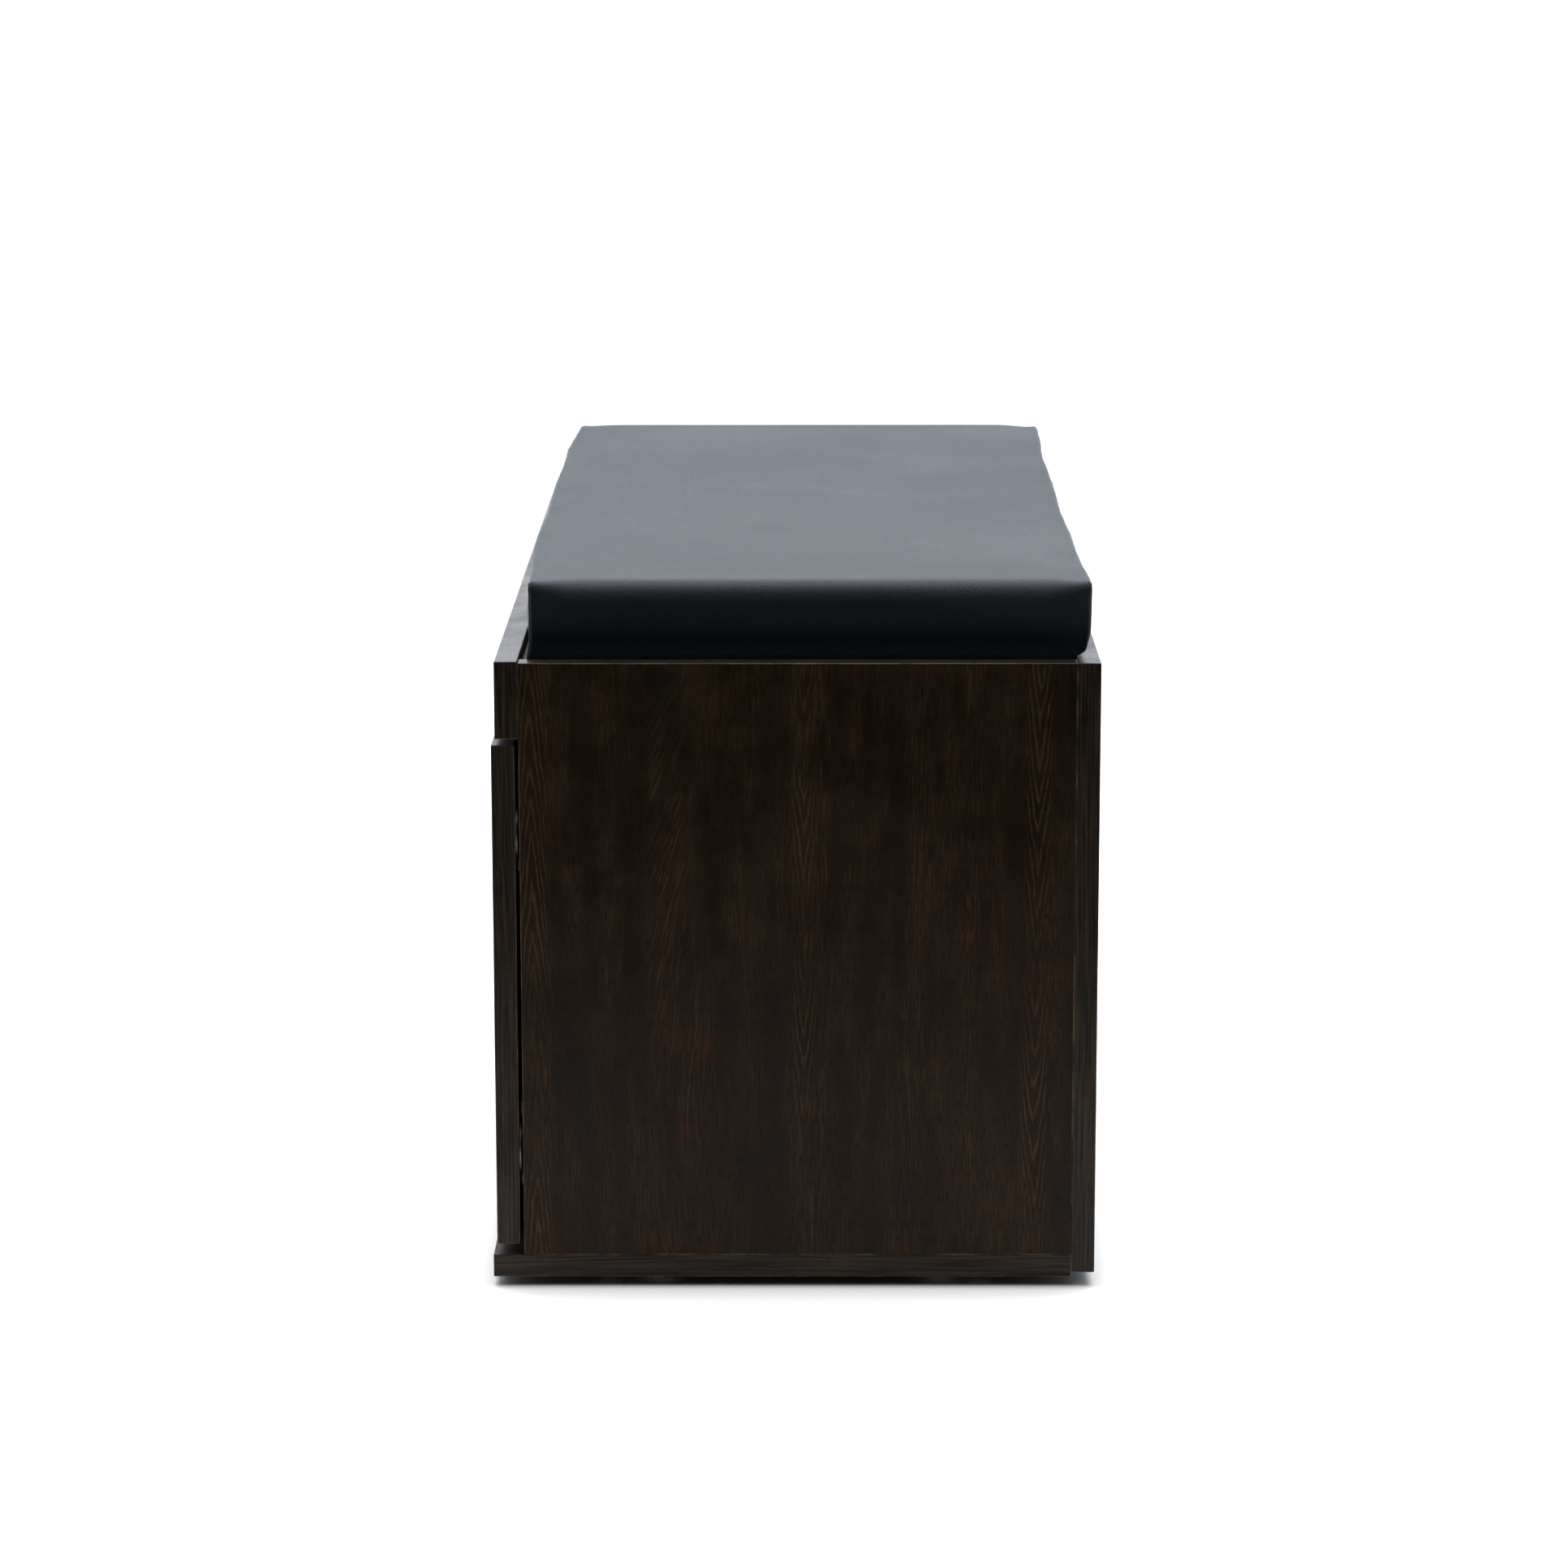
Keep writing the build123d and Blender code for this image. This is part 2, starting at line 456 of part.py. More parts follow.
# Doors and what is fixed to them
for side, name in SIDES:
    free_edge = side * DOOR_GAP_CENTRE / 2
    hinge_edge = side * (HALF - DOOR_INSET)
    cup_x = hinge_edge - side * CUP_FROM_EDGE
    cup_screw_x = cup_x - side * CUP_SCREW_OFFSET
    cup_points = [(cup_x, level) for level in HINGE_LEVELS]
    cup_screws_xz = [
        (cup_screw_x, level + step * CUP_SCREW_SPAN / 2) for level in HINGE_LEVELS for step in (-1, 1)
    ]
    strike_xz = [(side * LATCH_X, LATCH_Z)]
    with BuildPart() as door:
        block((free_edge, hinge_edge), (Y_DOOR_FRONT, Y_DOOR_BACK), (DOOR_LOW, DOOR_HIGH))
        fillet(door.edges(), EDGE_RADIUS)
        bore("y", Y_DOOR_BACK, Y_DOOR_BACK - CUP_DEPTH - CLEAR, cup_points, CUP_RADIUS + CLEAR)
        screw_low = Y_DOOR_BACK - CUP_SCREW_DEPTH - CLEAR
        bore("y", Y_DOOR_BACK, screw_low, cup_screws_xz, SMALL_SCREW_RADIUS + CLEAR)
        stem_low = Y_DOOR_BACK - STRIKE_STEM - CLEAR
        bore("y", Y_DOOR_BACK, stem_low, strike_xz, STRIKE_STEM_RADIUS + CLEAR)
    save(door.part, f"door_{name}")

    flange_face = Y_DOOR_BACK + FLANGE_THICKNESS
    with BuildPart() as hinge_cups:
        bore("y", Y_DOOR_BACK - CUP_DEPTH, flange_face, cup_points, CUP_RADIUS, Mode.ADD)
        for level in HINGE_LEVELS:
            with BuildSketch(Plane.XZ.offset(-Y_DOOR_BACK)) as flange:
                with Locations((cup_screw_x, level)):
                    RectangleRounded(FLANGE_WIDTH, CUP_SCREW_SPAN + 2 * FLANGE_END, FLANGE_ROUND)
                with Locations((cup_x, level)):
                    Circle(CUP_RADIUS + FLANGE_RING)
            extrude(flange.sketch, amount=-FLANGE_THICKNESS)
        cup_floor = Y_DOOR_BACK - CUP_DEPTH + CUP_WALL
        bore("y", cup_floor, flange_face, cup_points, CUP_RADIUS - CUP_WALL)
        bore("y", Y_DOOR_BACK, flange_face, cup_screws_xz, SMALL_SCREW_RADIUS + CLEAR)
    save(hinge_cups.part, f"hinge_cups_{name}")

    cup_screw_length = CUP_SCREW_DEPTH + FLANGE_THICKNESS + SMALL_HEAD_HEIGHT
    cup_screw = screw(SMALL_SCREW_RADIUS, cup_screw_length, SMALL_HEAD_RADIUS, SMALL_HEAD_HEIGHT, False)
    with BuildPart() as cup_screws:
        place_screws(cup_screw, "y", flange_face + SMALL_HEAD_HEIGHT, -1, cup_screws_xz)
    save(cup_screws.part, f"cup_screws_{name}")

    with BuildPart() as strike_plate:
        strike_face = Y_DOOR_BACK + STRIKE_THICKNESS
        bore("y", Y_DOOR_BACK, strike_face, strike_xz, STRIKE_RADIUS, Mode.ADD)
        bore("y", Y_DOOR_BACK, Y_DOOR_BACK - STRIKE_STEM, strike_xz, STRIKE_STEM_RADIUS, Mode.ADD)
    save(strike_plate.part, f"strike_plate_{name}")

    with BuildPart() as bumpers:
        bumper_x = side * (BOARD / 2 + DOOR_GAP_CENTRE / 2) / 2
        bumper_xz = [(bumper_x, DOOR_LOW + BUMPER_ABOVE), (bumper_x, DOOR_HIGH - BUMPER_BELOW)]
        bore("y", Y_DOOR_BACK, Y_DOOR_BACK + BUMPER_THICKNESS, bumper_xz, BUMPER_RADIUS, Mode.ADD)
        tips = bumpers.edges().filter_by(GeomType.CIRCLE).group_by(Axis.Y)[-1]
        fillet(tips, BUMPER_ROUND)
    save(bumpers.part, f"door_bumpers_{name}")


# Hinge halves on the side panels
plate_screw = screw(
    SMALL_SCREW_RADIUS,
    PLATE_SCREW_DEPTH + PLATE_THICKNESS + SMALL_HEAD_HEIGHT,
    SMALL_HEAD_RADIUS,
    SMALL_HEAD_HEIGHT,
    False,
)
arm_screw = screw(SMALL_SCREW_RADIUS, ARM_SCREW_LENGTH, SMALL_HEAD_RADIUS, SMALL_HEAD_HEIGHT, False)
SPINE_HIGH = ARM_HIGH - ARM_WALL - CLEAR
SPINE_HALF = ARM_HALF - ARM_WALL - CLEAR
Y_PLATE = Y_EDGE + PLATE_FROM_EDGE
plate_yz = [(Y_PLATE, level + step * PLATE_SCREW_SPAN / 2) for level in HINGE_LEVELS for step in (-1, 1)]
arm_yz = [(Y_PLATE + step, level) for level in HINGE_LEVELS for step in ARM_SCREW_STEPS]

with BuildPart() as hinge_plates:
    for side, name in SIDES:
        face = side * X_INNER
        top = face - side * PLATE_THICKNESS
        spine = face - side * SPINE_HIGH
        for level in HINGE_LEVELS:
            plate_y = (Y_PLATE - PLATE_HALF_DEPTH, Y_PLATE + PLATE_HALF_DEPTH)
            block((face, top), plate_y, (level - PLATE_HALF_HEIGHT, level + PLATE_HALF_HEIGHT))
            spine_y = (Y_PLATE - SPINE_AHEAD, Y_PLATE + SPINE_BEHIND)
            block((face, spine), spine_y, (level - SPINE_HALF, level + SPINE_HALF))
        bore("x", face, top, plate_yz, SMALL_SCREW_RADIUS + CLEAR)
        bore("x", spine, spine + side * ARM_SCREW_BORE, arm_yz, SMALL_SCREW_RADIUS + CLEAR)
save(hinge_plates.part, "hinge_plates")

with BuildPart() as plate_screws:
    for side, name in SIDES:
        head = side * (X_INNER - PLATE_THICKNESS - SMALL_HEAD_HEIGHT)
        place_screws(plate_screw, "x", head, side, plate_yz)
save(plate_screws.part, "plate_screws")

Y_NOSE = Y_EDGE - ARM_NOSE
NOSE_PIN_Y = Y_NOSE + NOSE_PIN_BACK
NOSE_PIN_X = X_INNER - (ARM_LOW + ARM_HIGH) / 2
with BuildPart() as hinge_arms:
    for side, name in SIDES:
        low = side * (X_INNER - ARM_LOW)
        high = side * (X_INNER - ARM_HIGH)
        roof = side * (X_INNER - ARM_HIGH + ARM_WALL)
        for level in HINGE_LEVELS:
            block((low, high), (Y_NOSE, Y_EDGE + ARM_REAR), (level - ARM_HALF, level + ARM_HALF))
            inner_half = ARM_HALF - ARM_WALL
            channel_z = (level - inner_half, level + inner_half)
            block((low, roof), (Y_NOSE, Y_EDGE + ARM_REAR), channel_z, Mode.SUBTRACT)
        bore("x", high, roof, arm_yz, SMALL_SCREW_RADIUS + CLEAR)
    for level in HINGE_LEVELS:
        pin_points = [(side * NOSE_PIN_X, NOSE_PIN_Y) for side in (-1, 1)]
        bore("z", level - ARM_HALF, level + ARM_HALF, pin_points, NOSE_PIN_RADIUS + CLEAR)
save(hinge_arms.part, "hinge_arms")

with BuildPart() as hinge_pins:
    for level in HINGE_LEVELS:
        pin_points = [(side * NOSE_PIN_X, NOSE_PIN_Y) for side in (-1, 1)]
        pin_half = ARM_HALF + NOSE_PIN_END
        bore("z", level - pin_half, level + pin_half, pin_points, NOSE_PIN_RADIUS, Mode.ADD)
save(hinge_pins.part, "hinge_pins")

with BuildPart() as arm_screws:
    for side, name in SIDES:
        head = side * (X_INNER - ARM_HIGH - SMALL_HEAD_HEIGHT)
        place_screws(arm_screw, "x", head, side, arm_yz)
save(arm_screws.part, "arm_screws")


# Push latches
with BuildPart() as latch_housings:
    for side, name in SIDES:
        face = side * BOARD / 2
        z_span = (LATCH_Z - LATCH_TALL / 2, LATCH_Z + LATCH_TALL / 2)
        block((face, face + side * LATCH_WIDTH), (LATCH_FRONT, LATCH_FRONT + LATCH_LENGTH), z_span)
    fillet(latch_housings.edges().filter_by(Axis.Y), LATCH_ROUND)
    latch_xz = [(side * LATCH_X, LATCH_Z) for side in (-1, 1)]
    bore("y", LATCH_FRONT, LATCH_FRONT + PLUNGER_LENGTH, latch_xz, PLUNGER_RADIUS + CLEAR)
    for side, name in SIDES:
        face = side * BOARD / 2
        bore("x", face, face + side * LATCH_WIDTH, LATCH_SCREW_YZ, SMALL_SCREW_RADIUS + CLEAR)
save(latch_housings.part, "latch_housings")

latch_screw = screw(
    SMALL_SCREW_RADIUS,
    LATCH_SCREW_DEPTH + LATCH_WIDTH + SMALL_HEAD_HEIGHT,
    SMALL_HEAD_RADIUS,
    SMALL_HEAD_HEIGHT,
    False,
)
with BuildPart() as latch_screws:
    for side, name in SIDES:
        head = side * (BOARD / 2 + LATCH_WIDTH + SMALL_HEAD_HEIGHT)
        place_screws(latch_screw, "x", head, -side, LATCH_SCREW_YZ)
save(latch_screws.part, "latch_screws")

PLUNGER_TIP = Y_DOOR_BACK + STRIKE_THICKNESS + CLEAR
for side, name in SIDES:
    with BuildPart() as plunger:
        tip_xz = [(side * LATCH_X, LATCH_Z)]
        bore("y", PLUNGER_TIP, PLUNGER_TIP + PLUNGER_LENGTH, tip_xz, PLUNGER_RADIUS, Mode.ADD)
        rim = plunger.edges().filter_by(GeomType.CIRCLE).sort_by(Axis.Y)[0]
        chamfer(rim, PLUNGER_CHAMFER)
    save(plunger.part, f"latch_plunger_{name}")


# Seat cushion
def cushion_form(inset):
    """Outer form of the cushion, or the space inside it at a distance from its faces."""
    x_end = CUSHION_LENGTH / 2 - inset
    front = Y_EDGE + CUSHION_FRONT_GAP + inset
    low_rear = Y_REAR - CUSHION_BACK_GAP - inset
    high_rear = Y_REAR + CUSHION_OVERHANG - inset
    low = Z_SEAT + inset
    step = Z_TOP + CUSHION_BACK_GAP + inset
    high = Z_SEAT + CUSHION_HEIGHT - inset
    with BuildPart() as form:
        block((-x_end, x_end), (front, low_rear), (low, high))
        block((-x_end, x_end), (front, high_rear), (step, high))
        corners = form.edges().filter_by(Axis.Z)
        fillet(corners, CUSHION_ROUND - inset)
        fillet(form.faces().sort_by(Axis.Z)[-1].edges(), CUSHION_ROUND - inset)
    return form.part


inside = cushion_form(COVER_THICKNESS + CLEAR)
with BuildPart() as cushion_cover:
    add(cushion_form(0))
    add(cushion_form(COVER_THICKNESS), mode=Mode.SUBTRACT)
save(cushion_cover.part, "cushion_cover")

board_top = Z_SEAT + COVER_THICKNESS + CUSHION_BOARD
with BuildPart() as cushion_board:
    add(inside)
    block((-HALF, HALF), (Y_LIP, Y_BACK), (board_top, Z_SEAT + 2 * CUSHION_HEIGHT), Mode.SUBTRACT)
save(cushion_board.part, "cushion_board")

with BuildPart() as cushion_foam:
    add(inside)
    block((-HALF, HALF), (Y_LIP, Y_BACK), (0, board_top + CLEAR), Mode.SUBTRACT)
save(cushion_foam.part, "cushion_foam")
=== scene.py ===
"""Looks of the storage bench: materials on the CAD boards and fittings, and a sewn seat cushion."""
import json
import math

import bpy
import numpy as np
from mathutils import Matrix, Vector, noise


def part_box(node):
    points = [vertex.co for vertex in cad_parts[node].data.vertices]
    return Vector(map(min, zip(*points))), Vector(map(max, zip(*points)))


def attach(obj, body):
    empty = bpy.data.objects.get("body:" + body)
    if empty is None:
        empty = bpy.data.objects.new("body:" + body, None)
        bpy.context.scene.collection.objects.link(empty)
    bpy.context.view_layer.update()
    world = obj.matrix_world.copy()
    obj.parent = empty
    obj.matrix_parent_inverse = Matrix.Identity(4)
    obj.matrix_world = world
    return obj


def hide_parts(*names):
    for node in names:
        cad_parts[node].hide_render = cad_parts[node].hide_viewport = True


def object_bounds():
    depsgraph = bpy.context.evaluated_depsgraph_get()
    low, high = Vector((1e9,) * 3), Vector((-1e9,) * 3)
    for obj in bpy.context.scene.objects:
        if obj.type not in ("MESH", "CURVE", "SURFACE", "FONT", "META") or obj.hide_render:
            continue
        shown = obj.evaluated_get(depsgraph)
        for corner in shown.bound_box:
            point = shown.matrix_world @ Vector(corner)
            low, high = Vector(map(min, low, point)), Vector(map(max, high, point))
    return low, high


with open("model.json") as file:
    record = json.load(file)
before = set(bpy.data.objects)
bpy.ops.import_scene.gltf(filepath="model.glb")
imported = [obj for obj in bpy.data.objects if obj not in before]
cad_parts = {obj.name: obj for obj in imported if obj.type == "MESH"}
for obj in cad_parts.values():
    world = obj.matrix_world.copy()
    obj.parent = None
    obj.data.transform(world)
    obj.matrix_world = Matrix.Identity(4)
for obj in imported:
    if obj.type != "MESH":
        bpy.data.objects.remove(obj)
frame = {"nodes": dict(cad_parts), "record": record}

cad_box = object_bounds()
MM = 0.001
nodes = frame["nodes"]
scene = bpy.context.scene
scene.view_settings.view_transform = "Standard"


# ---------------------------------------------------------------- node helpers
class Graph:
    """A material's node tree, with short calls for its nodes."""

    def __init__(self, name):
        self.material = bpy.data.materials.new(name)
        self.material.use_nodes = True
        self.tree = self.material.node_tree
        self.tree.nodes.clear()
        self.shader = self.add("ShaderNodeBsdfPrincipled")
        output = self.add("ShaderNodeOutputMaterial")
        self.link(self.shader.outputs[0], output.inputs["Surface"])

    def add(self, kind, **settings):
        node = self.tree.nodes.new(kind)
        for key, value in settings.items():
            setattr(node, key, value)
        return node

    def link(self, source, target):
        self.tree.links.new(source, target)

    def put(self, socket, value):
        """A socket takes a number, a tuple, or another node's output."""
        if isinstance(value, bpy.types.NodeSocket):
            self.link(value, socket)
        else:
            socket.default_value = value

    def math(self, operation, *values, clamp=False):
        node = self.add("ShaderNodeMath", operation=operation, use_clamp=clamp)
        for socket, value in zip(node.inputs, values):
            self.put(socket, value)
        return node.outputs[0]

    def ramp(self, value, low, high, to_low=0.0, to_high=1.0):
        """Smooth step from to_low at low to to_high at high."""
        node = self.add("ShaderNodeMapRange", interpolation_type="SMOOTHSTEP")
        for socket, number in zip(node.inputs, (value, low, high, to_low, to_high)):
            self.put(socket, number)
        return node.outputs[0]

    def choose(self, factor, first, second):
        """A number: first at factor 0, second at factor 1."""
        node = self.add("ShaderNodeMix", data_type="FLOAT")
        self.put(node.inputs[0], factor)
        self.put(node.inputs[2], first)
        self.put(node.inputs[3], second)
        return node.outputs[0]

    def colour(self, factor, first, second):
        node = self.add("ShaderNodeMix", data_type="RGBA")
        self.put(node.inputs[0], factor)
        self.put(node.inputs[6], first)
        self.put(node.inputs[7], second)
        return node.outputs[2]

    def vector(self, x, y, z):
        node = self.add("ShaderNodeCombineXYZ")
        for socket, value in zip(node.inputs, (x, y, z)):
            self.put(socket, value)
        return node.outputs[0]

    def noise(self, vector, scale=1.0, detail=2.0, roughness=0.5, distortion=0.0):
        node = self.add("ShaderNodeTexNoise")
        self.put(node.inputs["Vector"], vector)
        self.put(node.inputs["Scale"], scale)
        self.put(node.inputs["Detail"], detail)
        self.put(node.inputs["Roughness"], roughness)
        self.put(node.inputs["Distortion"], distortion)
        return node.outputs[0]

    def split(self, output_name):
        """X, Y and Z of one of the texture coordinates of the piece's own mesh."""
        coordinates = self.add("ShaderNodeTexCoord")
        separate = self.add("ShaderNodeSeparateXYZ")
        self.link(coordinates.outputs[output_name], separate.inputs[0])
        return separate.outputs

    def bump(self, height, distance, strength):
        node = self.add("ShaderNodeBump")
        self.put(node.inputs["Strength"], strength)
        self.put(node.inputs["Distance"], distance)
        self.put(node.inputs["Height"], height)
        self.link(node.outputs[0], self.shader.inputs["Normal"])

    def set(self, **values):
        names = {"color": "Base Color", "metallic": "Metallic", "roughness": "Roughness", "ior": "IOR",
                 "specular": "Specular IOR Level", "tint": "Specular Tint", "sheen": "Sheen Weight",
                 "sheen_roughness": "Sheen Roughness", "sheen_tint": "Sheen Tint",
                 "transmission": "Transmission Weight", "glow": "Emission Strength",
                 "glow_color": "Emission Color"}
        for key, value in values.items():
            self.put(self.shader.inputs[names[key]], value)


# ---------------------------------------------------------------- wood-print laminate
WENGE_DARK = (0.0085, 0.0042, 0.0014, 1)
WENGE_MID = (0.0230, 0.0118, 0.0044, 1)
WENGE_RED = (0.0850, 0.0320, 0.0080, 1)
WENGE_TAN = (0.0760, 0.0430, 0.0170, 1)
WENGE_BAND_DARK = (0.0075, 0.0060, 0.0048, 1)
WENGE_BAND_LIGHT = (0.0340, 0.0255, 0.0185, 1)
# Painted highlight colour for the rounded board edges
WENGE_EDGE_HIGHLIGHT = (0.1500, 0.1050, 0.0700, 1)
WENGE_PORE = (0.0025, 0.0016, 0.0009, 1)
PRINT_PERIOD = 0.384     # metres across the grain, where the printed sheet repeats
# Columns of nested arches in the print: place across the grain, half width, arch height, +1 for tips down
ARCHES = ((0.009, 0.012, 0.028, -1), (0.180, 0.009, 0.026, 1), (0.331, 0.009, 0.024, 1))
FAN_PLACE = 0.080        # the print's fan of slanted pores starts here
FAN_WIDTH = 0.050
FAN_LEVEL = 0.200        # along the grain, where its slant is least
FAN_LEAN = (0.16, 0.95)  # slant in proportion to the height, and to its square
DRIFT = 0.010            # metres that the print wanders across the grain
ARCH_CURVE = 14000.0     # how the flanks of an arch rise with the square of the distance
ARCH_SLOPE = 190.0       # and with the distance
ARCH_WOBBLE = 1.5
# Bands of denser streaks: place across the grain, width
BANDS = ((0.014, 0.013), (0.186, 0.016), (0.254, 0.012), (0.290, 0.010), (0.331, 0.013))
STREAK_STRENGTH = 0.44
FACE_ROUGHNESS = 0.42
BAND_ROUGHNESS = 0.30    # of the glued edge bands
LAMINATE_SPECULAR = 0.11
SQUARE_ON = 0.7          # least share of a normal for a face or an end
AXIS = {"x": 0, "y": 1, "z": 2}


def wood_print(g, across, along, plain):
    """Strengths of the printed grain. plain is 1 on the edges, where there are no arches and no fan."""
    figured = g.math("SUBTRACT", 1.0, plain)
    slow = g.vector(g.math("MULTIPLY", across, 8.0), g.math("MULTIPLY", along, 3.0), 0.7)
    drift = g.math("SUBTRACT", g.noise(slow, detail=1.0), 0.5)
    place = g.math("ADD", across, g.math("MULTIPLY", drift, DRIFT))
    wrapped = g.math("WRAP", place, PRINT_PERIOD, 0.0)

    # The fan leans more with height
    fan_step = g.math("SUBTRACT", wrapped, FAN_PLACE)
    fan_in = g.ramp(fan_step, -0.001, 0.002)
    fan_out = g.ramp(fan_step, FAN_WIDTH * 0.45, FAN_WIDTH, 1.0, 0.0)
    fan = g.math("MULTIPLY", g.math("MULTIPLY", fan_in, fan_out), figured)
    rise = g.math("SUBTRACT", along, FAN_LEVEL)
    lean = g.math("MULTIPLY", rise, FAN_LEAN[0])
    lean = g.math("ADD", lean, g.math("MULTIPLY", g.math("POWER", rise, 2.0), FAN_LEAN[1]))
    leaned = g.math("SUBTRACT", place, g.math("MULTIPLY", lean, fan))

    def fibres(width, length, seed, detail=1.0):
        """Noise drawn out along the grain: width and length of its marks in metres."""
        stretched = g.vector(g.math("DIVIDE", leaned, width), g.math("DIVIDE", along, length), seed)
        return g.noise(stretched, detail=detail)

    dash = fibres(0.0009, 0.022, 0.0)
    stroke = fibres(0.0015, 0.038, 4.0)
    pore = fibres(0.0007, 0.009, 8.0)
    broad = g.vector(g.math("MULTIPLY", place, 60.0), g.math("MULTIPLY", along, 9.0), 2.0)
    patch = g.noise(broad, detail=2.0)
    density = g.ramp(patch, 0.42, 0.68, 0.05, 0.70)
    for centre, width in BANDS:
        gap = g.math("ABSOLUTE", g.math("SUBTRACT", wrapped, centre))
        band = g.math("MULTIPLY", g.ramp(gap, width * 0.3, width, 0.6, 0.0), figured)
        density = g.math("ADD", density, band)
    density = g.math("ADD", density, g.math("MULTIPLY", fan, 0.25))
    dashes = g.math("MULTIPLY", g.ramp(dash, 0.50, 0.70), density)
    strokes = g.math("MULTIPLY", g.ramp(stroke, 0.53, 0.66), g.math("MULTIPLY", density, 0.55))
    strokes = g.math("MULTIPLY", strokes, g.math("ADD", 1.0, g.math("MULTIPLY", fan, 1.1)))
    streak = g.math("MAXIMUM", dashes, strokes)

    # Nested arches: contour lines of a steep trough along each column
    for number, (centre, half, height, tip) in enumerate(ARCHES):
        distance = g.math("ABSOLUTE", g.math("SUBTRACT", wrapped, centre))
        flank = g.math("MULTIPLY", g.math("POWER", distance, 2.0), ARCH_CURVE)
        flank = g.math("ADD", flank, g.math("MULTIPLY", distance, ARCH_SLOPE))
        ragged = g.vector(g.math("MULTIPLY", across, 160.0), g.math("MULTIPLY", along, 22.0), 11.0 + number)
        wobble = g.math("MULTIPLY", g.noise(ragged, detail=3.0), ARCH_WOBBLE)
        climb = g.math("MULTIPLY", along, -tip / height)
        phase = g.math("ADD", g.math("ADD", climb, flank), wobble)
        wave = g.math("SINE", g.math("MULTIPLY", phase, 2 * math.pi))
        lines = g.ramp(wave, 0.15, 0.95)
        shows = g.ramp(distance, half * 0.6, half, 1.0, 0.0)
        patchy = g.noise(g.vector(number + 0.5, g.math("MULTIPLY", along, 11.0), 17.0), detail=1.0)
        shows = g.math("MULTIPLY", g.math("MULTIPLY", shows, figured), g.ramp(patchy, 0.36, 0.58, 0.1, 0.9))
        lines = g.math("MULTIPLY", lines, g.ramp(dash, 0.30, 0.60, 0.6, 1.6))
        streak = g.choose(shows, streak, lines)
    return streak, pore, patch, fibres(0.0013, 0.070, 21.0, detail=2.0)


def laminate(name, face, grain, shift):
    """Dark wood print on a board. face is the axis through its thickness, grain the one along the grain."""
    g = Graph(name)
    side = ({"x", "y", "z"} - {face, grain}).pop()
    where = g.split("Object")
    normal = g.split("Normal")
    on_face = g.math("GREATER_THAN", g.math("ABSOLUTE", normal[AXIS[face]]), SQUARE_ON)
    on_end = g.math("GREATER_THAN", g.math("ABSOLUTE", normal[AXIS[grain]]), SQUARE_ON)
    across = g.choose(on_face, where[AXIS[face]], where[AXIS[side]])
    across = g.math("ADD", across, shift)
    along = g.choose(on_end, where[AXIS[grain]], where[AXIS[side]])
    streak, pore, patch, fine = wood_print(g, across, along, g.math("SUBTRACT", 1.0, on_face))

    cloud = g.noise(g.vector(*where), scale=26.0, detail=4.0, roughness=0.6)
    hue = g.noise(g.vector(*where), scale=9.0, detail=2.0)
    shade = g.math("ADD", g.ramp(patch, 0.3, 0.7, 0.0, 0.45), g.ramp(cloud, 0.32, 0.70, 0.0, 0.55))
    base = g.colour(shade, WENGE_DARK, WENGE_MID)
    band = g.colour(g.ramp(fine, 0.36, 0.66), WENGE_BAND_DARK, WENGE_BAND_LIGHT)
    base = g.colour(on_face, band, base)
    mark = g.colour(g.ramp(hue, 0.40, 0.60), WENGE_RED, WENGE_TAN)
    printed = g.colour(g.math("MULTIPLY", streak, STREAK_STRENGTH, clamp=True), base, mark)
    dark_pore = g.math("MULTIPLY", g.ramp(pore, 0.56, 0.70, 0.0, 0.8), g.choose(on_face, 0.35, 1.0))
    # Painted highlight: paler along the rounded edges, where they would catch the light, here more and there
    # less
    flatness = g.math("MAXIMUM", *[g.math("ABSOLUTE", n) for n in normal[:2]])
    flatness = g.math("MAXIMUM", flatness, g.math("ABSOLUTE", normal[2]))
    highlight_patches = g.noise(g.vector(*where), scale=34.0, detail=4.0, roughness=0.7)
    wear_and_edge_highlight = g.math("MULTIPLY", g.ramp(flatness, 0.88, 0.995, 1.0, 0.0), g.ramp(highlight_patches, 0.40, 0.62, 0.15, 0.85))
    g.set(color=g.colour(wear_and_edge_highlight, g.colour(dark_pore, printed, WENGE_PORE), WENGE_EDGE_HIGHLIGHT))

    # The faces have a soft low-gloss emboss, the glued edge bands are smoother
    smudge = g.ramp(cloud, 0.34, 0.66, -0.05, 0.05)
    rough = g.math("ADD", g.choose(on_face, BAND_ROUGHNESS, FACE_ROUGHNESS), smudge)
    rough = g.math("ADD", rough, g.math("MULTIPLY", dark_pore, 0.08))
    g.set(roughness=rough, specular=LAMINATE_SPECULAR)
    g.bump(g.math("SUBTRACT", 1.0, dark_pore), 0.00006, 0.5)
    return g.material


# ---------------------------------------------------------------- other materials
VINYL_DARK = (0.0090, 0.0108, 0.0126, 1)
VINYL_WORN = (0.0130, 0.0152, 0.0174, 1)
VINYL_RELIEF = 0.00026   # metres


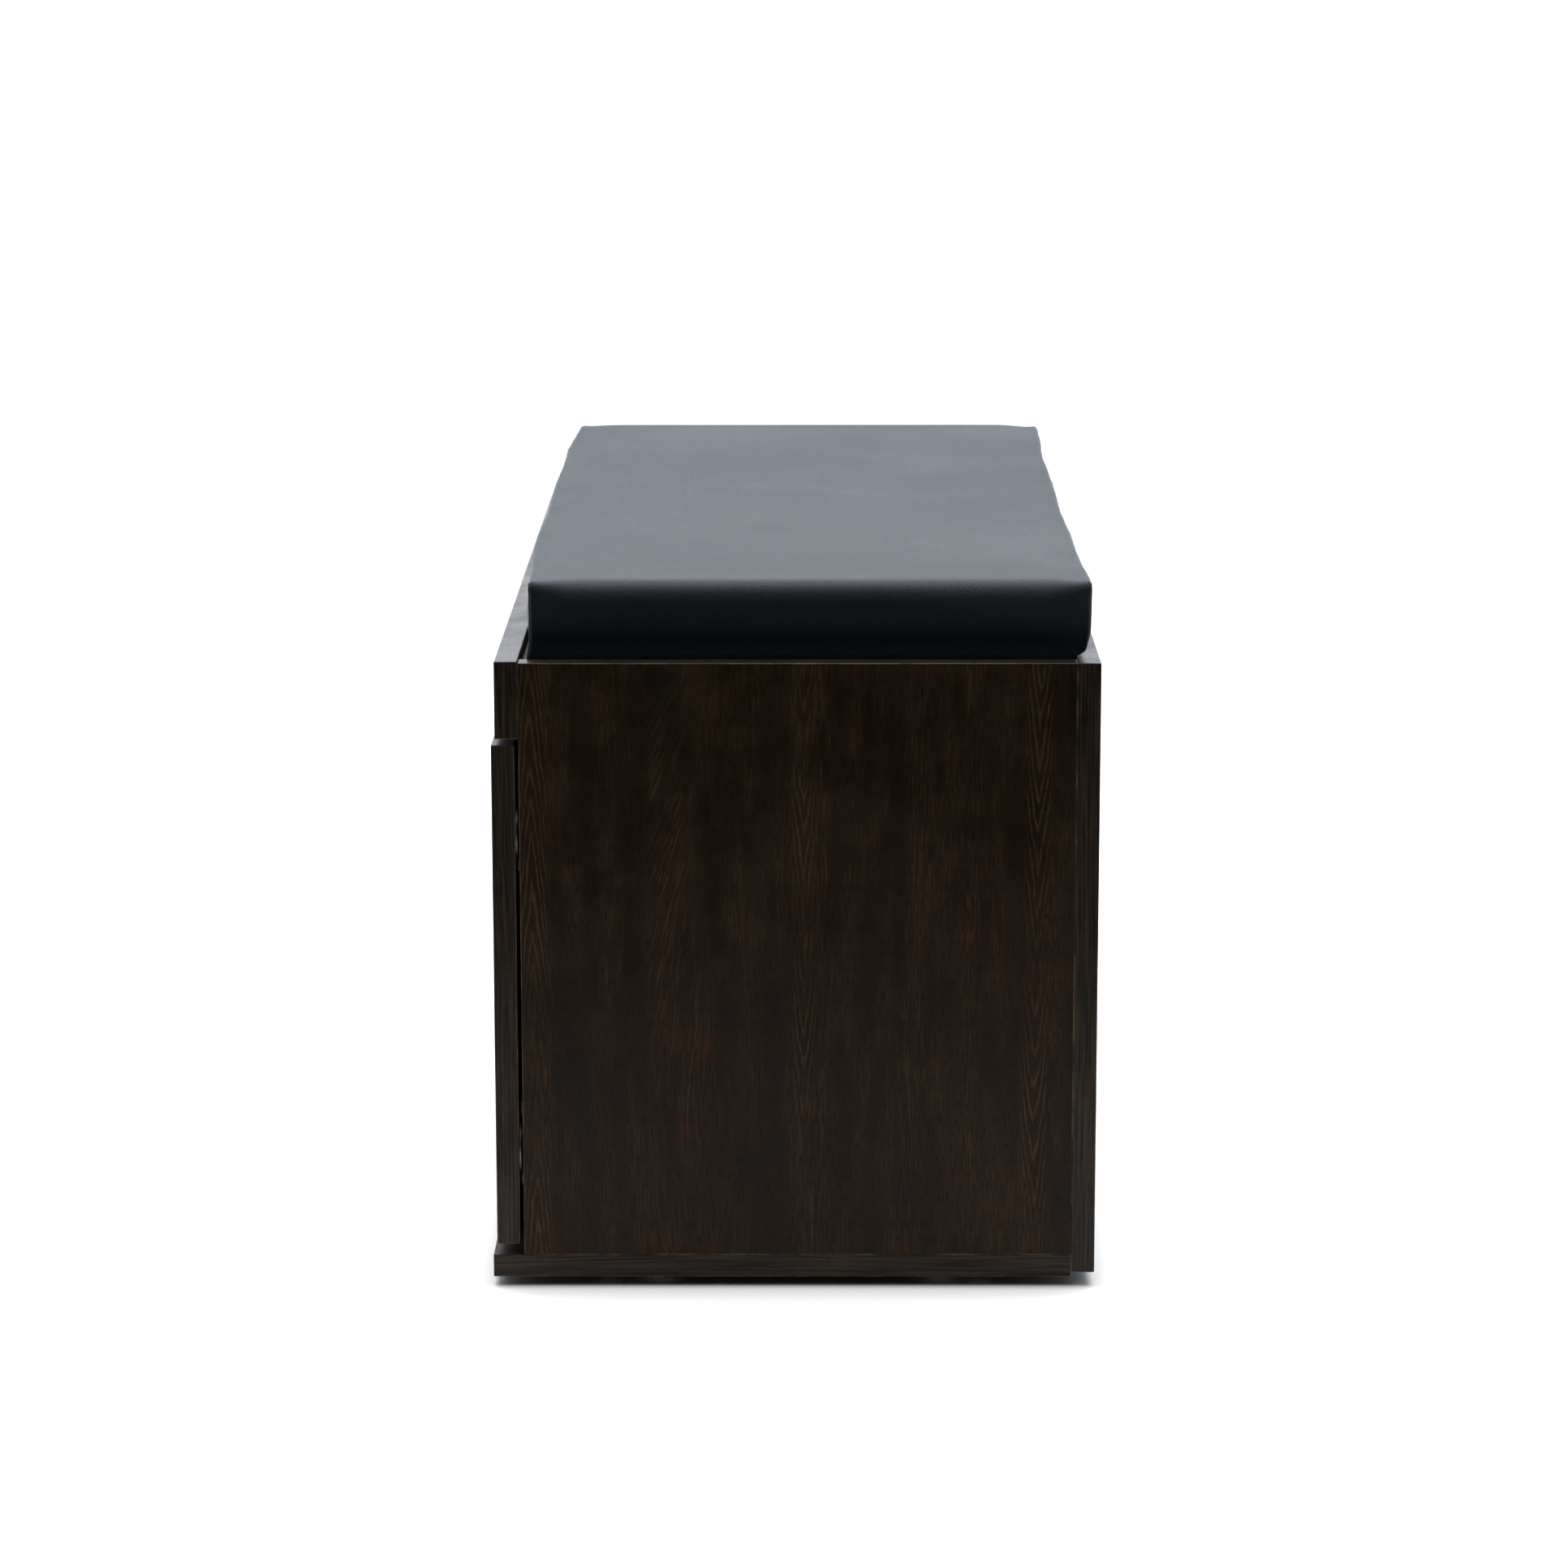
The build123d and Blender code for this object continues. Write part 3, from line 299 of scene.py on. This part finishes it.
def leatherette():
    """Near-black blue vinyl with a fine pebble, faint creases and a satin sheen."""
    g = Graph("leatherette")
    where = g.add("ShaderNodeTexCoord").outputs["Object"]

    def creases(scale, sharp):
        """Irregular valleys between low pebbles."""
        swell = g.noise(where, scale=scale, detail=1.5, distortion=0.5)
        return g.ramp(g.math("ABSOLUTE", g.math("SUBTRACT", swell, 0.5)), 0.0, sharp)

    large, small = creases(560.0, 0.08), creases(1250.0, 0.10)
    fine = g.noise(where, scale=2400.0, detail=2.0)
    cloud = g.noise(where, scale=9.0, detail=3.0, distortion=0.6)
    wear_and_edge_highlight = g.ramp(cloud, 0.35, 0.68)
    g.set(color=g.colour(wear_and_edge_highlight, VINYL_DARK, VINYL_WORN))
    height = g.math("ADD", g.math("MULTIPLY", large, 0.6), g.math("MULTIPLY", small, 0.4))
    height = g.math("ADD", height, g.math("MULTIPLY", fine, 0.15))
    g.bump(height, VINYL_RELIEF, 0.8)
    g.set(roughness=g.math("ADD", g.ramp(cloud, 0.3, 0.7, 0.36, 0.40), g.math("MULTIPLY", fine, 0.05)))
    g.set(ior=1.5, specular=0.125, tint=(0.80, 0.90, 1.0, 1))
    g.set(sheen=0.11, sheen_roughness=0.35, sheen_tint=(0.24, 0.62, 1.0, 1))
    return g.material


def metal(name, colour, roughness, scratch_scale):
    g = Graph(name)
    where = g.split("Object")
    drawn_out = g.vector(g.math("MULTIPLY", where[0], 0.15), where[1], where[2])
    brushed = g.noise(drawn_out, scale=scratch_scale, detail=3.0)
    tarnish = g.noise(g.vector(*where), scale=70.0, detail=2.0)
    dull = tuple(channel * 0.72 for channel in colour) + (1,)
    g.set(color=g.colour(g.ramp(tarnish, 0.35, 0.7), colour + (1,), dull), metallic=1.0)
    g.set(roughness=g.math("ADD", roughness, g.math("MULTIPLY", brushed, 0.16)))
    g.bump(brushed, 0.00002, 0.4)
    return g.material


def plastic(name, colour, roughness, grain=0.35, soft=0.0, gloss=0.5):
    g = Graph(name)
    where = g.add("ShaderNodeTexCoord").outputs["Object"]
    pits = g.noise(where, scale=1500.0, detail=2.0)
    cloud = g.noise(where, scale=60.0, detail=2.0)
    dusty = tuple(min(1.0, channel * 1.12 + 0.004) for channel in colour) + (1,)
    g.set(color=g.colour(g.ramp(cloud, 0.4, 0.75), colour + (1,), dusty))
    g.set(roughness=g.math("ADD", roughness, g.math("MULTIPLY", pits, 0.12)))
    g.set(transmission=soft, specular=gloss)
    g.bump(pits, 0.00004, grain)
    return g.material


def raw_wood(name, light, dark, across_scale, grain_axis):
    g = Graph(name)
    where = list(g.split("Object"))
    along = AXIS[grain_axis]
    where[along] = g.math("MULTIPLY", where[along], 0.06)
    fibre = g.noise(g.vector(*where), scale=across_scale, detail=4.0)
    rings = g.noise(g.vector(*where), scale=across_scale * 0.12, detail=2.0)
    tone = g.math("MULTIPLY", g.math("ADD", fibre, rings), 0.5)
    g.set(color=g.colour(g.ramp(tone, 0.35, 0.65), light + (1,), dark + (1,)), roughness=0.62, specular=0.3)
    g.bump(fibre, 0.0001, 0.5)
    return g.material


def foam():
    g = Graph("foam")
    where = g.add("ShaderNodeTexCoord").outputs["Object"]
    cells = g.add("ShaderNodeTexVoronoi", feature="F1")
    g.put(cells.inputs["Vector"], where)
    g.put(cells.inputs["Scale"], 900.0)
    shade = g.ramp(cells.outputs["Distance"], 0.1, 0.8)
    g.set(color=g.colour(shade, (0.78, 0.71, 0.50, 1), (0.60, 0.52, 0.33, 1)), roughness=0.9, specular=0.1)
    g.bump(cells.outputs["Distance"], 0.0004, 0.8)
    return g.material


def paint(names, material):
    """Give one material to CAD nodes."""
    for name in names:
        data = nodes[name].data
        data.materials.clear()
        data.materials.append(material)


def paint_cad_nodes():
    boards = {
        "side_panel_left": ("x", "z", 0.175), "side_panel_right": ("x", "z", 0.175),
        "centre_divider": ("x", "z", 0.240), "bottom_board": ("z", "x", 0.310),
        "seat_board": ("z", "x", 0.120), "shelf_left": ("z", "x", 0.050), "shelf_right": ("z", "x", 0.270),
        "back_panel": ("y", "x", 0.000), "front_rail": ("y", "x", 0.030),
        "door_left": ("y", "z", 0.220), "door_right": ("y", "z", 0.330),
    }
    for name, (face, grain, shift) in boards.items():
        paint([name], laminate("laminate_" + name, face, grain, shift))
    slots = {}
    for entry in frame["record"]["subparts"]:
        slots.setdefault(entry["material_slot"], []).append(entry["node"])
    paint(slots["zinc_steel"], metal("zinc_steel", (0.40, 0.40, 0.38), 0.34, 900.0))
    # Painted shade: the hinge nickel gets a dark colour, standing in for the shade the hinges sit in between
    # door and side panel
    paint(slots["nickel_steel"], metal("nickel_steel", (0.18, 0.172, 0.160), 0.34, 700.0))
    paint(slots["zinc_casting"], metal("zinc_casting", (0.45, 0.45, 0.46), 0.42, 500.0))
    paint(slots["beech"], raw_wood("beech", (0.62, 0.42, 0.24), (0.45, 0.27, 0.14), 900.0, "z"))
    paint(slots["white_plastic"], plastic("white_plastic", (0.80, 0.80, 0.78), 0.32))
    paint(slots["dark_cap_plastic"], plastic("dark_cap_plastic", (0.0075, 0.0050, 0.0025), 0.55, gloss=0.08))
    paint(slots["grey_plastic"], plastic("grey_plastic", (0.16, 0.16, 0.165), 0.45))
    paint(slots["clear_rubber"], plastic("clear_rubber", (0.62, 0.62, 0.60), 0.30, soft=0.5))
    paint(slots["foam"], foam())
    paint(slots["plywood"], raw_wood("plywood", (0.58, 0.42, 0.25), (0.42, 0.28, 0.15), 500.0, "x"))


# ---------------------------------------------------------------- cushion
SEAM_GRADING = (0.0, 1.2, 2.4, 4.4, 7.4, 11.4, 16.0)     # mm from a seam, finer beside it
PANEL_STEP = 5.6                                         # mm between points elsewhere
ROLL_RADIUS = 15.0       # top panel rolling over the ends
EAR_RADIUS = {-1: 13.0, 1: 7.0}     # the same beside a corner seam, at the two ends
BOTTOM_RADIUS = 1.5
CROWN = 1.4
TILT = 2.0               # the filling is a little fuller at the left end
BULGE = 4.0              # and towards the doors, over the rail
BELLY = {-1: 2.6, 1: 0.8}
REAR_INSET = 3.0         # rear side inside the cover's box, above the rim
REAR_WAIST = 3.2         # and further in along the middle
CORNER_DROOP = {-1: 1.8, 1: 3.6}     # top corners of the left end, front and rear
SLACK = 1.5              # cover's start inside its filled size
TUCK_GAP = 1.2           # from the back panel, in the recess
TUCK_SLOPE = 4.5         # rear side further in just above the rim
EAR_PULL = {-1: 0.1, 1: 0.7}
EAR_REACH = 12.0
SEAM_DEPTH = 1.1
PUCKER_LENGTH = 7.0
PRESSURE = 4.0
TRAVEL_CAP = 9.0         # mm that the filling may push a point
STEPS = 20


def graded(low, high, low_fine=True, high_fine=True):
    """Coordinates between two ends, closer together at the fine ends, in millimetres."""
    start = [low + step for step in SEAM_GRADING] if low_fine else [low]
    end = [high - step for step in reversed(SEAM_GRADING)] if high_fine else [high]
    count = max(1, round((end[0] - start[-1]) / PANEL_STEP))
    middle = [start[-1] + (end[0] - start[-1]) * k / count for k in range(1, count)]
    return start + middle + end


def smooth(value, low, high):
    t = min(1.0, max(0.0, (value - low) / (high - low)))
    return t * t * (3 - 2 * t)


def shell_of_box(xs, ys, zs):
    """Points and quads on the surface of a box lattice, and each point's lattice place."""
    index, places, quads = {}, [], []

    def point(i, j, k):
        if (i, j, k) not in index:
            index[(i, j, k)] = len(places)
            places.append((i, j, k))
        return index[(i, j, k)]

    last = (len(xs) - 1, len(ys) - 1, len(zs) - 1)
    for i in range(last[0]):
        for j in range(last[1]):
            quads.append([point(i, j, 0), point(i, j + 1, 0), point(i + 1, j + 1, 0), point(i + 1, j, 0)])
            top = [point(i, j, last[2]), point(i + 1, j, last[2])]
            quads.append(top + [point(i + 1, j + 1, last[2]), point(i, j + 1, last[2])])
    for i in range(last[0]):
        for k in range(last[2]):
            quads.append([point(i, 0, k), point(i + 1, 0, k), point(i + 1, 0, k + 1), point(i, 0, k + 1)])
            back = [point(i, last[1], k), point(i, last[1], k + 1)]
            quads.append(back + [point(i + 1, last[1], k + 1), point(i + 1, last[1], k)])
    for j in range(last[1]):
        for k in range(last[2]):
            quads.append([point(0, j, k), point(0, j, k + 1), point(0, j + 1, k + 1), point(0, j + 1, k)])
            end = [point(last[0], j, k), point(last[0], j + 1, k)]
            quads.append(end + [point(last[0], j + 1, k + 1), point(last[0], j, k + 1)])
    return places, quads, last


def roll(out, up, radius):
    """Move a point of a square corner onto a round one. out and up are its distances inside the two faces."""
    if out >= radius or up >= radius:
        return out, up
    if up <= out:
        angle = math.radians(45) * (1 - out / radius)
    else:
        angle = math.radians(45) * (1 + up / radius)
    return radius * (1 - math.sin(angle)), radius * (1 - math.cos(angle))


def make_cushion():
    low, high = (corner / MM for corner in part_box("cushion_cover"))
    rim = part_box("side_panel_left")[1].z / MM
    recess_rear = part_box("back_panel")[0].y / MM
    seat = low.z
    xs = graded(low.x, high.x)
    ys = graded(low.y, high.y)
    zs = graded(seat, high.z - 0.6, low_fine=False)
    zs = sorted(set(zs) | {seat + 3.0, rim - 0.5, rim + 1.5, rim + 3.5})
    places, quads, last = shell_of_box(xs, ys, zs)
    middle_y = (ys[0] + ys[-1]) / 2
    half_y = (ys[-1] - ys[0]) / 2
    points = []
    for i, j, k in places:
        x, y, z = xs[i], ys[j], zs[k]
        end = 1 if x > 0 else -1
        side = 1 if y > middle_y else -1
        to_seam = half_y - abs(y - middle_y)
        radius = EAR_RADIUS[end] + (ROLL_RADIUS - EAR_RADIUS[end]) * smooth(to_seam, 1.0, 30.0)
        out, up = roll(xs[-1] - abs(x), zs[-1] - z, radius)
        x, z = end * (xs[-1] - out), zs[-1] - up
        out, up = roll(xs[-1] - abs(x), z - seat, BOTTOM_RADIUS)
        x, z = end * (xs[-1] - out), seat + up
        # Above the rim it starts a little small, for the filling to swell out
        free = smooth(z, rim + 1, rim + 9)
        x -= end * SLACK * free
        y -= side * SLACK * free
        # Panels are full in the middle and drawn in at the seams
        along = smooth(xs[-1] - abs(x), 0, 120)
        wide = smooth(to_seam, 0, 70)
        high_up = smooth(z, rim + 20, zs[-1])
        z += CROWN * along * wide * high_up
        z += TILT * smooth(-x, -100, 300) * high_up
        near_seam = 1 - smooth(to_seam, 0, 26)
        y += noise.noise(Vector((x / 120, 4, side))) * 1.4 * near_seam * high_up
        z += noise.noise(Vector((x / 90, 3, side))) * 0.8 * near_seam * high_up
        if side < 0:
            over_rail = smooth(z, rim + 4, rim + 20)
            y -= BULGE * smooth(xs[-1] - abs(x), 0, 150) * near_seam * over_rail
        if x < 0:
            beside = math.hypot(xs[-1] + x, to_seam)
            z -= CORNER_DROOP[side] * (1 - smooth(beside, 0, 34)) * high_up
        waist = REAR_INSET + REAR_WAIST * smooth(xs[-1] - abs(x), 0, 200)
        if side > 0:
            y -= waist * smooth(y, middle_y + 20, ys[-1]) * free
        if j in (0, last[1]):
            belly = math.sin(math.pi * smooth(z, rim + 2, zs[-1]))
            y += side * BELLY[side] * belly * smooth(xs[-1] - abs(x), 0, 22)
        if j == last[1] or y > recess_rear - 12:
            # Above the rim the rear side swells over the back panel, below it stays in the recess
            tuck = 1 - smooth(z, rim + 0.4, rim + 5.0)
            slope = TUCK_SLOPE * (1 - smooth(z, rim + 4.0, rim + 24.0))
            limit = ys[-1] - waist - slope
            limit += (recess_rear - TUCK_GAP - limit) * tuck
            y = min(y, limit)
        points.append(Vector((x, y, z)))
    # Corner ears: the seams pull the top corners up and out to a point
    for number, (i, j, k) in enumerate(places):
        if k == last[2] or (i in (0, last[0]) and zs[k] > zs[-1] - EAR_REACH):
            away = Vector((xs[-1] - abs(xs[i]), half_y - abs(ys[j] - middle_y), zs[-1] - zs[k])).length
            pull = (1 - smooth(away, 0, EAR_REACH)) * EAR_PULL[1 if xs[i] > 0 else -1]
            sides = Vector((math.copysign(0.35, xs[i]), math.copysign(0.45, ys[j] - middle_y), 0.9))
            points[number] += sides * pull
    mesh = bpy.data.meshes.new("seat_cushion")
    mesh.from_pydata([tuple(p * MM) for p in points], [], quads)
    mesh.update()
    cushion = bpy.data.objects.new("seat_cushion", mesh)
    scene.collection.objects.link(cushion)
    seam, held = [], []
    for number, (i, j, k) in enumerate(places):
        long_seam = j in (0, last[1]) and k == last[2]
        corner_seam = i in (0, last[0]) and j in (0, last[1])
        if long_seam or corner_seam:
            seam.append(number)
        if long_seam or corner_seam or k == 0 or zs[k] < rim + 4:
            held.append(number)
    inflate(cushion, held)
    sew(cushion, places, last, seam)
    return cushion


def inflate(cushion, held):
    """Foam pressure under the cover: a cloth simulation with the seams and the base held."""
    rest = np.array([v.co for v in cushion.data.vertices])
    group = cushion.vertex_groups.new(name="held")
    group.add(held, 1.0, "REPLACE")
    cloth = cushion.modifiers.new("cloth", "CLOTH")
    settings = cloth.settings
    settings.quality = 5
    settings.mass = 0.35
    settings.tension_stiffness = 25
    settings.compression_stiffness = 25
    settings.shear_stiffness = 12
    settings.bending_stiffness = 1.2
    settings.use_pressure = True
    settings.uniform_pressure_force = PRESSURE
    settings.vertex_group_mass = "held"
    settings.effector_weights.gravity = 0
    cloth.collision_settings.use_collision = False
    cloth.collision_settings.use_self_collision = False
    scene.frame_start, scene.frame_end = 1, STEPS
    for frame_number in range(1, STEPS + 1):
        scene.frame_set(frame_number)
    solved = cushion.evaluated_get(bpy.context.evaluated_depsgraph_get())
    moved = np.array([v.co for v in solved.data.vertices])
    cushion.modifiers.remove(cloth)
    cushion.vertex_groups.clear()
    step = moved - rest
    length = np.linalg.norm(step, axis=1, keepdims=True)
    print("cushion travel mm", round(float(length.max()) / MM, 2), round(float(length.mean()) / MM, 2))
    step *= np.minimum(1.0, TRAVEL_CAP * MM / np.maximum(length, 1e-9))
    cushion.data.vertices.foreach_set("co", (rest + step).ravel())
    scene.frame_set(1)


def sew(cushion, places, last, seam):
    """Draw the seam lines in, with small puckers beside them, then smooth the cover once."""
    mesh = cushion.data
    mesh.update()
    normals = [vertex.normal.copy() for vertex in mesh.vertices]
    for number in seam:
        mesh.vertices[number].co -= normals[number] * SEAM_DEPTH * MM
    for number, (i, j, k) in enumerate(places):
        from_long = min(j, last[1] - j) + (last[2] - k)
        from_corner = min(i, last[0] - i) + min(j, last[1] - j)
        count = min(from_long, from_corner)
        if count in (1, 2, 3):
            vertex = mesh.vertices[number]
            pucker = noise.noise(vertex.co / MM / PUCKER_LENGTH)
            height = 0.45 if count < 3 else 0.2
            vertex.co += normals[number] * height * (1 + 1.1 * pucker) * MM
    mesh.update()
    smooth_once = cushion.modifiers.new("smooth", "SUBSURF")
    smooth_once.levels = smooth_once.render_levels = 1
    depsgraph = bpy.context.evaluated_depsgraph_get()
    finished = bpy.data.meshes.new_from_object(cushion.evaluated_get(depsgraph))
    cushion.modifiers.clear()
    cushion.data = finished
    finished.name = "seat_cushion"
    for polygon in finished.polygons:
        polygon.use_smooth = True


# ---------------------------------------------------------------- studio
WORLD_BEHIND = 1.9
WORLD_FRONT = 0.02
WORLD_FADE = (-0.8, 0.15)          # between them, in the X of a direction
WORLD_COLOUR = (0.89, 0.93, 1.0, 1)
WORLD_SEEN = 1.05
FLOOR_BACK = -2.4
FLOOR_FRONT = 1.0
FLOOR_SIDE = 1.7
FLOOR_PAINTED_GLOW = 0.45        # painted light: the floor sheet glows, and its glow is shaped round the bench to paint the bench's shadow
FLOOR_RISE = (1.0, 0.4)  # how soon the glow starts beyond the ends, and beyond the front and rear
CAMERA_LENS = 110.7      # mm on a sensor 36 mm wide
CAMERA_AHEAD = 3.001     # metres from the near end of the bench
CAMERA_HEIGHT = 0.960
CAMERA_ASIDE = 0.007
CAMERA_PITCH = 11.80     # degrees down
CAMERA_YAW = 0.25        # degrees towards the doors
CAMERA_ROLL = 0.06


def make_floor():
    """A pale sheet under the bench that glows, with the bench's shadow painted into its glow. Past its edge
    is the white of the studio.
    """
    mesh = bpy.data.meshes.new("floor")
    corners = [(FLOOR_BACK, -FLOOR_SIDE, 0), (FLOOR_FRONT, -FLOOR_SIDE, 0)]
    corners += [(FLOOR_FRONT, FLOOR_SIDE, 0), (FLOOR_BACK, FLOOR_SIDE, 0)]
    mesh.from_pydata(corners, [], [(0, 1, 2, 3)])
    floor = bpy.data.objects.new("floor", mesh)
    scene.collection.objects.link(floor)
    g = Graph("pale_floor")
    cloud = g.noise(g.add("ShaderNodeTexCoord").outputs["Object"], scale=1.3, detail=1.0)
    g.set(color=g.colour(cloud, (0.86, 0.86, 0.86, 1), (0.88, 0.88, 0.88, 1)), roughness=0.9, specular=0.1)
    # Painted shadow: no glow under the bench. It rises over a few centimetres from the footprint, is
    # brightest in a band a few centimetres out, and is two thirds as bright beyond 12 cm
    low, high = cad_box
    where = g.split("Object")
    beyond = []
    for axis, rise in enumerate(FLOOR_RISE):
        middle, half = (low[axis] + high[axis]) / 2, (high[axis] - low[axis]) / 2
        past = g.math("SUBTRACT", g.math("ABSOLUTE", g.math("SUBTRACT", where[axis], middle)), half)
        beyond.append(g.math("MULTIPLY", past, rise))
    outside = g.math("MAXIMUM", *beyond)
    glow = g.math("ADD", g.ramp(outside, -0.004, 0.010, 0.0, 1.0), g.ramp(outside, 0.006, 0.040, 0.0, 0.5))
    glow = g.math("SUBTRACT", glow, g.ramp(outside, 0.060, 0.120, 0.0, 0.5))
    g.set(glow=g.math("MULTIPLY", glow, FLOOR_PAINTED_GLOW), glow_color=(1, 1, 1, 1))
    mesh.materials.append(g.material)


def make_world():
    """White to the eye. As a light it is bright behind the bench and dim ahead of its near end."""
    world = bpy.data.worlds.new("studio")
    scene.world = world
    world.use_nodes = True
    tree = world.node_tree
    tree.nodes.clear()

    def add(kind, **settings):
        node = tree.nodes.new(kind)
        for key, value in settings.items():
            setattr(node, key, value)
        return node

    output = add("ShaderNodeOutputWorld")
    seen = add("ShaderNodeBackground")
    lit = add("ShaderNodeBackground")
    mix = add("ShaderNodeMixShader")
    path = add("ShaderNodeLightPath")
    where = add("ShaderNodeTexCoord")
    split = add("ShaderNodeSeparateXYZ")
    fade = add("ShaderNodeMapRange", interpolation_type="SMOOTHSTEP")
    tree.links.new(where.outputs["Generated"], split.inputs[0])
    tree.links.new(split.outputs[0], fade.inputs[0])
    for socket, value in zip(list(fade.inputs)[1:5], WORLD_FADE + (WORLD_BEHIND, WORLD_FRONT)):
        socket.default_value = value
    tree.links.new(fade.outputs[0], lit.inputs["Strength"])
    lit.inputs["Color"].default_value = WORLD_COLOUR
    seen.inputs["Color"].default_value = (1, 1, 1, 1)
    seen.inputs["Strength"].default_value = WORLD_SEEN
    tree.links.new(path.outputs["Is Camera Ray"], mix.inputs[0])
    tree.links.new(lit.outputs[0], mix.inputs[1])
    tree.links.new(seen.outputs[0], mix.inputs[2])
    tree.links.new(mix.outputs[0], output.inputs["Surface"])


def area_light(name, place, target, size, watts):
    data = bpy.data.lights.new(name, "AREA")
    data.shape = "RECTANGLE"
    data.size, data.size_y = size
    data.energy = watts
    light = bpy.data.objects.new(name, data)
    light.location = place
    light.rotation_euler = (Vector(target) - Vector(place)).to_track_quat("-Z", "Y").to_euler()
    scene.collection.objects.link(light)


def make_camera():
    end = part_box("side_panel_right")[1].x
    data = bpy.data.cameras.new("camera")
    data.sensor_width = 36.0
    data.lens = CAMERA_LENS
    data.clip_end = 60.0
    camera = bpy.data.objects.new("camera", data)
    camera.location = (end + CAMERA_AHEAD, CAMERA_ASIDE, CAMERA_HEIGHT)
    pitch, yaw = math.radians(CAMERA_PITCH), math.radians(CAMERA_YAW)
    look = Vector((-math.cos(pitch) * math.cos(yaw), -math.cos(pitch) * math.sin(yaw), -math.sin(pitch)))
    turn = look.to_track_quat("-Z", "Y")
    camera.rotation_euler = turn.to_euler()
    camera.rotation_euler.rotate_axis("Z", math.radians(-CAMERA_ROLL))
    scene.collection.objects.link(camera)
    scene.camera = camera


make_camera()
make_floor()
make_world()
area_light("overhead", (-0.75, 0.0, 2.6), (-0.1, 0, 0), (3.2, 3.2), 112.0)
area_light("floor_fill", (0.95, 0.0, 2.4), (0.85, 0, 0), (0.8, 3.0), 15.0)
paint_cad_nodes()
seat_cushion = make_cushion()
seat_cushion.data.materials.append(leatherette())
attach(seat_cushion, "cushion")
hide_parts("cushion_cover", "cushion_foam")
